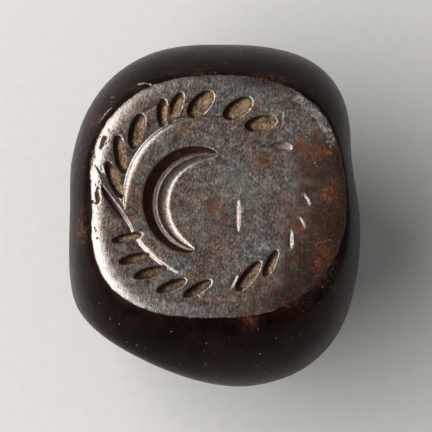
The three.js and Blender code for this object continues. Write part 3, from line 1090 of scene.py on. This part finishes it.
@dataclass(frozen=True)
class PolishedHematite:
    """Hematite, ground and polished by hand, then worn and stained.

    The bared stone is a grey with a metal's gleam, because polished hematite reflects about a
    quarter of the light. Its old skin is nearly black and red-brown, and rust has bloomed in it.
    """

    skin: Coat = Coat(None, "#070302", "#1f0e09", 0.0, 0.34, 0, 0)
    coats: tuple[Coat, ...] = (
        Coat(Mask.GROUND, "#5d5652", "#b1aba5", 0.92, 0.34, 0.3, 0.3),
        Coat(Mask.BROWNED, "#4a372f", "#ab9283", 0.85, 0.36, 0.5, 0.5),
        # tarnished: partly patina, partly painted shade away from the light
        Coat(Mask.TARNISHED_AND_SHADED, "#150e0b", "#4e3a30", 0.5, 0.4, 0.8, 0.45),
        Coat(Mask.RUST, "#1f110c", "#84543d", 0.3, 0.45, 0.8, 0.5),
        # worn: partly wear, partly a painted highlight where the rim and the cuts face the light
        Coat(Mask.WORN_AND_HIGHLIT, "#8a837c", "#b2aba4", 0.94, 0.32, 0.2, 0.45),
        Coat(Mask.ABRADED, "#5f5853", "#a9a199", 0.3, 0.62, 1.2, 0.3),
        # cut: partly the rough cut, partly painted shade on the moon's outer wall and along the
        # painted shade lines
        Coat(Mask.ROUGH_CUT_AND_SHADE, "#150b08", "#452b21", 0.2, 0.55, 0.3, 0.4),
        # filled: residue, partly painted light where it lies against the lit right walls
        Coat(Mask.FILLED_AND_LIT, "#3d2f23", "#a88e70", 0.0, 0.92, 0.4, 0.5),
        Coat(Mask.CHIPPED, "#231a14", "#6b5440", 0.0, 0.85, 0.5, 0.25),
        Coat(Mask.HAIRLINE, "#7d736b", "#b5aba2", 0.1, 0.6, 0.4, 0.35),
        Coat(Mask.BORED, "#1d1512", "#4a392e", 0.1, 0.6, 0.0, 0.3),
    )
    lump: float = 1.1  # mm, the clouds of colour in the stone
    cloud: float = 0.4  # mm, the smaller ones
    # mm, the crystals, drawn about twice as coarse as real ones so that they show
    grain: tuple[float, float, float] = (0.095, 0.17, 0.12)
    scratch: Pair = (0.05, 0.9)  # a grinding mark's width and length in mm
    scratch_bearings: Pair = (8.0, -52.0)  # degrees off the Y axis
    painted_glint: float = 0.16  # mm, the painted glints: brighter colour on crystals that catch the light
    drill_ring: float = 0.25  # mm, the spacing of the rings that the drill left in the hole
    drill_run: float = 10 / 3  # mm that a ring runs before it breaks up
    grain_share: float = 0.55  # of the mottle of each finish, the rest of which is cloud
    mark_gain: Pair = (0.88, 1.6)  # on the colour, between the marks and on them
    gloss_spread: float = 0.2  # of the roughness, with the mottle
    speck_spacing: float = 0.44  # mm
    speck_radius: float = 0.058  # mm, the largest
    speck_edge: Pair = (1.2, 0.7)  # radii, between which a speck begins
    speck: str = "#715b4d"  # the specks' colour
    specular: float = 0.05
    bump: float = 0.0024  # mm, the crystals' relief
    mark_depth: float = 0.6  # the grinding marks', in the crystals' own relief
    ring_height: float = 8.0  # the drill's rings', in the same unit

    def build(self) -> bpy.types.Material:
        """Builds the material.

        Returns:
            The material, which reads the piece's own attributes and its place in mm.
        """
        material, place = empty_material("polished_hematite")
        tree = material.node_tree
        inputs = {"Vector": place, "Scale": 1 / MM}
        place = add_node(tree, "ShaderNodeVectorMath", {"operation": "SCALE"}, inputs).outputs[0]
        noise = self.noises(tree, place)
        finish = self.coated(tree, noise)
        inputs = {
            "Factor": self.specks(tree, place),
            "A_Color": self.marked(tree, noise, finish["Base Color"]),
            "B_Color": linear_colour(self.speck),
        }
        colour = add_node(tree, "ShaderNodeMix", {"data_type": "RGBA"}, inputs)
        finish["Base Color"] = colour.outputs[COLOUR_OUT]
        finish["Specular IOR Level"] = self.specular
        finish["Normal"] = self.relief(tree, noise)
        surface = add_node(tree, "ShaderNodeBsdfPrincipled", {}, finish)
        add_node(tree, "ShaderNodeOutputMaterial", {}, {"Surface": surface.outputs[0]})
        return material

    def noises(self, tree: bpy.types.NodeTree, place: bpy.types.NodeSocket) -> Sockets:
        """Adds the stone's noises, each of them stretched to its real size.

        Args:
            tree: The material's nodes.
            place: The place in mm.

        Returns:
            Values from 0 to 1 by the noise's name, with those of both scratch directions as marks.
        """
        width, length = self.scratch
        grooves = (width, length, length)
        rings = (self.drill_ring, self.drill_run, self.drill_run)
        first, second = (math.radians(bearing) for bearing in self.scratch_bearings)
        kinds = {  # the turn, the size in mm, the detail, and the raw values that become 0 and 1
            "lump": (0.0, (self.lump,) * 3, 4.0, 0.32, 0.68),
            "cloud": (0.0, (self.cloud,) * 3, 4.0, 0.34, 0.68),
            "grain": (first, self.grain, 3.0, 0.4, 0.67),
            "scratch": (first, grooves, 3.0, 0.54, 0.7),
            "scuff": (second, grooves, 3.0, 0.54, 0.7),
            "painted_glint": (0.0, (self.painted_glint,) * 3, 1.0, 0.6, 0.7),
            "ring": (0.0, rings, 2.0, 0.32, 0.68),
        }
        noise = {}
        for name, (turn, sizes, detail, low, high) in kinds.items():
            inputs = {"Vector": place, "Angle": turn}
            turned = add_node(tree, "ShaderNodeVectorRotate", {"rotation_type": "Z_AXIS"}, inputs)
            inputs = {"Vector": turned.outputs[0], "Vector_001": tuple(1 / size for size in sizes)}
            at = add_node(tree, "ShaderNodeVectorMath", {"operation": "MULTIPLY"}, inputs)
            inputs = {"Vector": at.outputs[0], "Scale": 1.0, "Detail": detail, "Roughness": 0.6}
            raw = add_node(tree, "ShaderNodeTexNoise", {}, inputs).outputs[0]
            inputs = {"Value": raw, "From Min": low, "From Max": high}
            noise[name] = add_node(tree, "ShaderNodeMapRange", {}, inputs).outputs[0]
        inputs = {"Value": noise["scratch"], "Value_001": noise["scuff"]}
        marks = add_node(tree, "ShaderNodeMath", {"operation": "MAXIMUM"}, inputs)
        noise["marks"] = marks.outputs[0]
        return noise

    def coated(self, tree: bpy.types.NodeTree, noise: Sockets) -> Sockets:
        """Lays the coats on the skin one after another, each through its mask.

        A mask is a coat's own attribute, raised and lowered by the mottle and then sharpened about
        a half.

        Args:
            tree: The material's nodes.
            noise: The stone's noises.

        Returns:
            The shader's base colour, metallic and roughness.
        """
        inputs = {"Factor": self.grain_share, "A_Float": noise["cloud"], "B_Float": noise["grain"]}
        mottle = add_node(tree, "ShaderNodeMix", {}, inputs).outputs[0]
        inputs = {"Value": mottle, "Value_001": -0.5}
        centred = add_node(tree, "ShaderNodeMath", {"operation": "ADD"}, inputs).outputs[0]
        sums = {"operation": "MULTIPLY_ADD"}
        under = {}
        for coat in (self.skin, *self.coats):
            inputs = {
                "Factor": mottle if coat.mask else noise["lump"],
                "A_Color": linear_colour(coat.dark),
                "B_Color": linear_colour(coat.light),
            }
            own = add_node(tree, "ShaderNodeMix", {"data_type": "RGBA"}, inputs)
            over = {
                "Base Color": own.outputs[COLOUR_OUT],
                "Metallic": coat.metallic,
                "Roughness": coat.roughness,
            }
            if coat.mask is None:
                under = over
                continue
            settings = {"attribute_name": coat.mask.value}
            lies = add_node(tree, "ShaderNodeAttribute", settings, {}).outputs["Fac"]
            inputs = {"Value": centred, "Value_001": 2 * coat.ragged, "Value_002": 1.0}
            gain = add_node(tree, "ShaderNodeMath", sums, inputs).outputs[0]
            inputs = {"Value": lies, "Value_001": gain}
            lies = add_node(tree, "ShaderNodeMath", {"operation": "MULTIPLY"}, inputs).outputs[0]
            inputs = {"Value": lies, "From Min": 0.5 - coat.blend, "From Max": 0.5 + coat.blend}
            settings = {"interpolation_type": "SMOOTHSTEP"}
            mask = add_node(tree, "ShaderNodeMapRange", settings, inputs).outputs[0]
            for name, value in over.items():
                kind = "Color" if name == "Base Color" else "Float"
                settings = {"data_type": "RGBA" if kind == "Color" else "FLOAT"}
                inputs = {"Factor": mask, f"A_{kind}": under[name], f"B_{kind}": value}
                blended = add_node(tree, "ShaderNodeMix", settings, inputs)
                under[name] = blended.outputs[COLOUR_OUT if kind == "Color" else 0]
        inputs = {
            "Value": centred,
            "Value_001": self.gloss_spread,
            "Value_002": under["Roughness"],
        }
        under["Roughness"] = add_node(tree, "ShaderNodeMath", sums, inputs).outputs[0]
        return under

    def marked(
        self, tree: bpy.types.NodeTree, noise: Sockets, colour: bpy.types.NodeSocket
    ) -> bpy.types.NodeSocket:
        """Brightens the colour on the grinding marks and on the painted glints, and darkens it
        between them.

        Args:
            tree: The material's nodes.
            noise: The stone's noises.
            colour: The coats' colour.

        Returns:
            The colour with its marks.
        """
        inputs = {"Value": noise["marks"], "Value_001": noise["painted_glint"]}
        marks = add_node(tree, "ShaderNodeMath", {"operation": "MAXIMUM"}, inputs).outputs[0]
        inputs = {"Value": marks, "To Min": self.mark_gain[0], "To Max": self.mark_gain[1]}
        gain = add_node(tree, "ShaderNodeMapRange", {}, inputs).outputs[0]
        inputs = {"Factor": 1.0, "A_Color": colour, "B_Color": gain}
        multiply = {"data_type": "RGBA", "blend_type": "MULTIPLY"}
        return add_node(tree, "ShaderNodeMix", multiply, inputs).outputs[COLOUR_OUT]

    def specks(
        self, tree: bpy.types.NodeTree, place: bpy.types.NodeSocket
    ) -> bpy.types.NodeSocket:
        """Scatters pale specks of grit: balls at random points, of random sizes up to the radius.

        Args:
            tree: The material's nodes.
            place: The place in mm.

        Returns:
            The specks' mask.
        """
        inputs = {"Vector": place, "Scale": 1 / self.speck_spacing}
        cells = add_node(tree, "ShaderNodeTexVoronoi", {}, inputs)
        inputs = {"Color": cells.outputs["Color"]}
        size = add_node(tree, "ShaderNodeSeparateColor", {}, inputs).outputs[0]
        inputs = {"Value": cells.outputs["Distance"], "Value_001": size}
        away = add_node(tree, "ShaderNodeMath", {"operation": "DIVIDE"}, inputs).outputs[0]
        start, full = (edge * self.speck_radius / self.speck_spacing for edge in self.speck_edge)
        inputs = {"Value": away, "From Min": start, "From Max": full}
        return add_node(tree, "ShaderNodeMapRange", {}, inputs).outputs[0]

    def relief(self, tree: bpy.types.NodeTree, noise: Sockets) -> bpy.types.NodeSocket:
        """Raises the crystals, the grinding marks and the drill's rings a few micrometres.

        Args:
            tree: The material's nodes.
            noise: The stone's noises.

        Returns:
            The surface's direction.
        """
        sums = {"operation": "MULTIPLY_ADD"}
        inputs = {
            "Value": noise["marks"],
            "Value_001": -self.mark_depth,
            "Value_002": noise["grain"],
        }
        height = add_node(tree, "ShaderNodeMath", sums, inputs).outputs[0]
        settings = {"attribute_name": Mask.BORED.value}
        bored = add_node(tree, "ShaderNodeAttribute", settings, {}).outputs["Fac"]
        inputs = {"Value": noise["ring"], "Value_001": bored}
        rings = add_node(tree, "ShaderNodeMath", {"operation": "MULTIPLY"}, inputs).outputs[0]
        inputs = {"Value": rings, "Value_001": self.ring_height, "Value_002": height}
        height = add_node(tree, "ShaderNodeMath", sums, inputs).outputs[0]
        inputs = {"Height": height, "Distance": self.bump * MM, "Strength": 1.0}
        return add_node(tree, "ShaderNodeBump", {}, inputs).outputs[0]


@dataclass(frozen=True)
class PaleCard:
    """Pale matt card, whose faint fibres keep it from looking like bare light."""

    dark: str = "#dedbd6"
    light: str = "#e6e4df"
    fibre: float = 0.5  # mm
    roughness: float = 0.9
    specular: float = 0.2

    def build(self) -> bpy.types.Material:
        """Builds the material.

        Returns:
            The material.
        """
        material, place = empty_material("pale_card")
        tree = material.node_tree
        inputs = {"Vector": place, "Scale": 1 / (self.fibre * MM), "Detail": 3.0}
        inputs = {
            "Factor": add_node(tree, "ShaderNodeTexNoise", {}, inputs).outputs[0],
            "A_Color": linear_colour(self.dark),
            "B_Color": linear_colour(self.light),
        }
        colour = add_node(tree, "ShaderNodeMix", {"data_type": "RGBA"}, inputs).outputs[COLOUR_OUT]
        inputs = {
            "Base Color": colour,
            "Roughness": self.roughness,
            "Specular IOR Level": self.specular,
        }
        surface = add_node(tree, "ShaderNodeBsdfPrincipled", {}, inputs)
        add_node(tree, "ShaderNodeOutputMaterial", {}, {"Surface": surface.outputs[0]})
        return material


def place_object(name: str, data: bpy.types.ID) -> bpy.types.Object:
    """Makes an object of a mesh, a light or a camera.

    Args:
        name: The object's name.
        data: What it shows.

    Returns:
        The object, linked to the scene.
    """
    made = bpy.data.objects.new(name, data)
    bpy.context.scene.collection.objects.link(made)
    return made


def closed_mesh(name: str, grid: Array) -> bpy.types.Object:
    """Puts a grid of rows and columns into a closed mesh.

    The columns join up round the grid, and the first and last rows are closed to a point at their
    mean. The faces point outwards where the columns run anticlockwise, seen from before the first
    row.

    Args:
        name: The object's name.
        grid: An array of rows, columns and x, y, z.

    Returns:
        The object, linked to the scene.
    """
    rows, columns, _ = grid.shape
    poles = np.stack([grid[0].mean(axis=0), grid[-1].mean(axis=0)])
    points = np.concatenate([grid.reshape(-1, 3), poles])
    number = np.arange(rows * columns).reshape(rows, columns)
    after = np.roll(number, -1, axis=1)
    quads = np.stack([number[:-1], number[1:], after[1:], after[:-1]], axis=-1).reshape(-1, 4)
    first, last = rows * columns, rows * columns + 1
    start = np.stack([np.full(columns, first), number[0], after[0]], axis=-1)
    end = np.stack([np.full(columns, last), after[-1], number[-1]], axis=-1)
    mesh = bpy.data.meshes.new(name)
    mesh.from_pydata(points, [], quads.tolist() + start.tolist() + end.tolist())
    mesh.update()
    return place_object(name, mesh)


def pierce(stone: bpy.types.Object, drill: bpy.types.Object) -> None:
    """Cuts one closed mesh out of another, puts the result in its place and removes the cutter.

    Args:
        stone: The piece that is cut.
        drill: The shape that is cut out of it, and then deleted.
    """
    cut = stone.modifiers.new("string_hole", "BOOLEAN")
    cut.operation = "DIFFERENCE"
    cut.solver = "MANIFOLD"
    cut.object = drill
    whole = stone.data
    evaluated = stone.evaluated_get(bpy.context.evaluated_depsgraph_get())
    pierced = bpy.data.meshes.new_from_object(evaluated)
    pierced.materials.clear()
    stone.modifiers.clear()
    stone.data = pierced
    bpy.data.meshes.remove(whole)
    bpy.data.meshes.remove(drill.data)


@dataclass(frozen=True)
class SealStone:
    """The stone itself: its form, its engraving, its string hole and its finish, in mm."""

    form: BeadForm = BeadForm()
    engraving: Engraving = Engraving()
    weathering: Weathering = Weathering()
    finish: PolishedHematite = PolishedHematite()
    bore_waist: float = 2.1  # the hole's radius at its middle
    bore_taper: float = 0.2  # how much wider that is at the bead's half width
    bore_overshoot: float = 0.2  # how far the drill runs out of the stone
    bore_skin: float = 0.01  # a point this near the drill's path lies on the hole's wall
    mouth_flare: float = 0.7  # how far its mouths widen past that
    mouth_depth: float = 1.3
    waviness: float = 0.014  # half the height of the worn surface's broad waves
    waves: tuple[Noise, Noise] = (Noise(1.7, 3), Noise(0.5, 4))
    small_waves: float = 0.25  # as a share of the broad ones
    wave_start: Pair = (0.0, 1.0)  # mm above the worn back, between which the waves begin
    columns: int = 560
    # circles about the wreath's centre: from one radius to another, and how many
    rings: tuple[tuple[float, float, int], ...] = (
        (0.1, 1.5, 12),
        (1.5, 3.2, 35),
        (3.2, 3.95, 11),
        (3.95, 4.95, 23),
    )
    rim_rows: int = 33
    side_rows: int = 46
    side_crowding: float = 1.5  # the power that crowds the side's rows towards the rim
    back_rows: int = 5
    bore_rows: int = 61
    bore_sides: int = 96
    crisp_angle: float = 32.0  # degrees, past which an edge of the hole's mouth stays crisp
    crisp_reach: float = 3.5  # above and below the hole's axis, where such edges are

    @property
    def top(self) -> float:
        """Height of the engraved face above the floor in mm."""
        return self.form.back_drop + self.form.face_rise

    def plan_rows(self, angle: Array) -> list[Array]:
        """Gives the rows of the engraved side as loops in the plan.

        Circles about the wreath's centre run out to its leaves, close together where the cutting
        is. Past them each loop is a mix of the last circle and the rim's outer edge.

        Args:
            angle: The columns' bearings in radians.

        Returns:
            Loops of x and y in mm, from the inside to the rim's foot.
        """
        spans = [np.linspace(start, end, count, endpoint=False) for start, end, count in self.rings]
        centre = np.array(self.engraving.wreath_centre)
        way = np.stack([np.cos(angle), np.sin(angle)], axis=-1)
        circles = [centre + radius * way for radius in np.concatenate(spans)]
        last = centre + self.rings[-1][1] * way
        foot = way * self.form.radius(angle, self.form.rim_foot(angle))[:, None]
        shares = np.linspace(0, 1, self.rim_rows)
        return circles + [last + (foot - last) * share for share in shares]

    def face_height(self, plan: Plan) -> Array:
        """Gives the engraved side's height above the floor: the rolled face less what is cut away.

        Args:
            plan: Points of the engraved side.

        Returns:
            Heights in mm.
        """
        engraving = self.engraving
        drop = self.form.face_drop(plan)
        drop = soft_greatest(drop, engraving.cuts(plan), engraving.edge_softness)
        drop += np.maximum(engraving.broken(plan), 0)
        drop += engraving.margin_drop(plan, self.form)
        return self.top - np.maximum(drop, 0)

    def side_loops(self, angle: Array) -> list[Array]:
        """Gives the rows from below the rim to the worn back.

        The rows' slopes on the bead run from the rim's to the back's by a power of their share,
        which keeps them close together near the rim.

        Args:
            angle: The columns' bearings in radians.

        Returns:
            Loops of x, y and z in mm.
        """
        form = self.form
        start = np.arcsin(form.rim_foot(angle) / form.half_height)
        end = math.asin(-form.back_drop / form.half_height)
        shares = np.arange(1, self.side_rows + 1) / self.side_rows
        loops = []
        for share in shares**self.side_crowding:
            rise = form.half_height * np.sin(start + (end - start) * share)
            radius = form.radius(angle, rise)
            across, along = radius * np.cos(angle), radius * np.sin(angle)
            loops.append(np.column_stack([across, along, rise + form.back_drop]))
        return loops

    def waved(self, points: Array) -> Array:
        """Draws the surface in by broad faint waves, as hand polishing and wear left it.

        A point moves towards the bead's middle by a noise of broad lumps and one of small lumps,
        and less and less over the last millimetre above the worn back.

        Args:
            points: Rows of x, y and z in mm.

        Returns:
            The same rows, moved.
        """
        flat = points.reshape(-1, 3)
        broad, small = (noise.at(flat) for noise in self.waves)
        lumps = 1 + broad + self.small_waves * (1 + small)
        reach = self.waviness * lumps * smooth_step(flat[:, 2], *self.wave_start)
        outward = flat - np.array([0, 0, self.form.back_drop])
        outward /= np.linalg.norm(outward, axis=1)[:, None]
        return (flat - reach[:, None] * outward).reshape(points.shape)

    def stone_grid(self) -> Array:
        """Works out the whole stone before its hole.

        Returns:
            An array of rows, columns and x, y, z in mm, from the face's middle to the back's.
        """
        angle = np.linspace(0, 2 * math.pi, self.columns, endpoint=False)
        rows = []
        for loop in self.plan_rows(angle):
            height = self.face_height(Plan(loop[:, 0], loop[:, 1]))
            rows.append(np.column_stack([loop, height]))
        rows += self.side_loops(angle)
        last = rows[-1]
        rows += [last * share for share in np.linspace(1, 0, self.back_rows + 1)[1:-1]]
        return self.waved(np.stack(rows))

    def bore_radius(self, x: Array) -> Array:
        """Gives the hole's radius at a place along it.

        A slight taper, and a mouth that flares by the fourth power of the share of its depth, as a
        string rolls a hole's edge over.

        Args:
            x: Places along the hole in mm.

        Returns:
            Radii in mm.
        """
        straight = self.form.half_width - self.mouth_depth
        mouth = np.maximum(np.abs(x) - straight, 0) / self.mouth_depth
        taper = self.bore_taper * np.abs(x) / self.form.half_width
        return self.bore_waist + taper + self.mouth_flare * mouth**4

    def bore_grid(self) -> Array:
        """Works out the drill's path: the hole's radius turned about its axis, from end to end.

        Returns:
            An array of rows, columns and x, y, z in mm.
        """
        turn = np.linspace(0, 2 * math.pi, self.bore_sides, endpoint=False)
        half = self.form.half_width + self.bore_overshoot
        x = (half * np.cos(np.linspace(0, math.pi, self.bore_rows)))[:, None]
        radius = self.bore_radius(x)
        y = radius * np.cos(turn)
        z = radius * np.sin(turn) + self.form.back_drop
        return np.stack([np.broadcast_to(x, y.shape), y, z], axis=-1)

    def attributes(self, points: Array) -> dict[Mask, Array]:
        """Works out where the stone's finishes lie, as a share from 0 to 1 at each point.

        Args:
            points: Rows of x, y and z in mm.

        Returns:
            Shares by the mask that they make.
        """
        x, y, z = points.T
        bore_depth = self.bore_radius(x) - np.hypot(y, z - self.form.back_drop)
        bored = (bore_depth > -self.bore_skin) & (np.abs(x) < self.form.half_width)
        weathered = self.weathering.shares(points, self.form, self.engraving, self.top)
        return {Mask.BORED: bored.astype(float), **weathered}

    def build(self) -> bpy.types.Object:
        """Builds the stone, drills it, marks where its finishes lie and dresses it.

        Returns:
            The finished piece, in metres.
        """
        stone = closed_mesh("engraved_stone", self.stone_grid())
        drill = closed_mesh("string_drill", self.bore_grid())
        pierce(stone, drill)
        mesh = stone.data
        points = np.empty(len(mesh.vertices) * 3)
        mesh.vertices.foreach_get("co", points)
        points = points.reshape(-1, 3)
        for mask, values in self.attributes(points).items():
            shares = mesh.attributes.new(mask.value, "FLOAT", "POINT")
            shares.data.foreach_set("value", values)
        mesh.vertices.foreach_set("co", (points * MM).ravel())
        mesh.shade_smooth()
        self.crisp_mouths(mesh, points)
        mesh.materials.append(self.finish.build())
        mesh.update()
        return stone

    def crisp_mouths(self, mesh: bpy.types.Mesh, points: Array) -> None:
        """Keeps the edges of the string hole's mouths crisp, and all other edges smooth.

        Args:
            mesh: The drilled stone.
            points: Its points in mm.
        """
        mesh.set_sharp_from_angle(angle=math.radians(self.crisp_angle))
        sharp = np.empty(len(mesh.edges), dtype=bool)
        ends = np.empty(len(mesh.edges) * 2, dtype=np.int32)
        mesh.attributes["sharp_edge"].data.foreach_get("value", sharp)
        mesh.edges.foreach_get("vertices", ends)
        rises = np.abs(points[ends.reshape(-1, 2), 2] - self.form.back_drop)
        at_mouth = rises.max(axis=1) < self.crisp_reach
        mesh.attributes["sharp_edge"].data.foreach_set("value", sharp & at_mouth)


@dataclass(frozen=True)
class Studio:
    """The table the seal lies on, the light round it, and the camera, with lengths in mm."""

    floor_half: float = 3000.0
    floor: PaleCard = PaleCard()
    sky: str = "#7c7c7c"
    key_bearing: float = 177.0  # where the main light stands in the plan
    key_height: float = 48.0  # degrees above the floor
    key_distance: float = 300.0
    key_size: Pair = (560.0, 200.0)  # along the table and upwards
    key_power: float = 1.48  # watts
    camera_lean: Pair = (-1.9, -10.4)  # degrees off straight above, in X and Y
    camera_distance: float = 200.0
    lens: float = 333.33
    sensor: float = 36.0
    nearest: float = 10.0  # the least distance that the camera sees
    aim_shift: Pair = (-0.075, -1.05)  # to the right and up, off the face's middle

    def build_floor(self) -> None:
        """Lays the floor, a sheet of four corners in one plane."""
        half = self.floor_half * MM
        corners = [(-half, -half, 0), (half, -half, 0), (half, half, 0), (-half, half, 0)]
        mesh = bpy.data.meshes.new("floor")
        mesh.from_pydata(corners, [], [(0, 1, 2, 3)])
        mesh.materials.append(self.floor.build())
        floor = place_object("floor", mesh)

    def build_sky(self) -> None:
        """Gives the room round the table one even pale grey."""
        world = bpy.data.worlds.new("pale_room")
        world.use_nodes = True
        world.node_tree.nodes["Background"].inputs["Color"].default_value = linear_colour(self.sky)
        bpy.context.scene.world = world

    def build_key(self) -> None:
        """Hangs the main light: a wide soft box at the left, turned to the seal."""
        bearing, height = math.radians(self.key_bearing), math.radians(self.key_height)
        level = math.cos(height)
        way = Vector((level * math.cos(bearing), level * math.sin(bearing), math.sin(height)))
        lamp = bpy.data.lights.new("soft_key", "AREA")
        lamp.shape = "RECTANGLE"
        lamp.size, lamp.size_y = (side * MM for side in self.key_size)
        lamp.energy = self.key_power
        key = place_object("soft_key", lamp)
        key.location = way * self.key_distance * MM
        key.rotation_euler = way.to_track_quat("Z", "Y").to_euler()
        key.visible_camera = False

    def build_camera(self, face: float) -> None:
        """Places the camera above the face, leaning a little to the left and to the bottom edge.

        Args:
            face: Height of the engraved face in mm.
        """
        lean_x, lean_y = (math.tan(math.radians(lean)) for lean in self.camera_lean)
        back = Vector((lean_x, lean_y, 1)).normalized()
        right = Vector((0, 1, 0)).cross(back).normalized()
        up = back.cross(right)
        aim = Vector((0, 0, face)) + right * self.aim_shift[0] + up * self.aim_shift[1]
        lens = bpy.data.cameras.new("camera")
        lens.lens = self.lens
        lens.sensor_width = self.sensor
        lens.clip_start = self.nearest * MM
        camera = place_object("camera", lens)
        place = Matrix.Translation((aim + back * self.camera_distance) * MM)
        camera.matrix_world = place @ Matrix((right, up, back)).transposed().to_4x4()
        bpy.context.scene.camera = camera
        bpy.context.scene.view_settings.view_transform = "Standard"


def main() -> None:
    """Builds the studio and the seal."""
    logging.basicConfig(level=logging.INFO, format="%(message)s")
    seal = SealStone()
    studio = Studio()
    studio.build_floor()
    studio.build_sky()
    studio.build_key()
    studio.build_camera(seal.top)
    log.info("studio: floor, sky, key light and camera")
    stone = seal.build()
    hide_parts(STONE_NODE)
    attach(stone, "root")
    log.info("%s: %d faces", stone.name, len(stone.data.polygons))


if __name__ == "__main__":
    main()
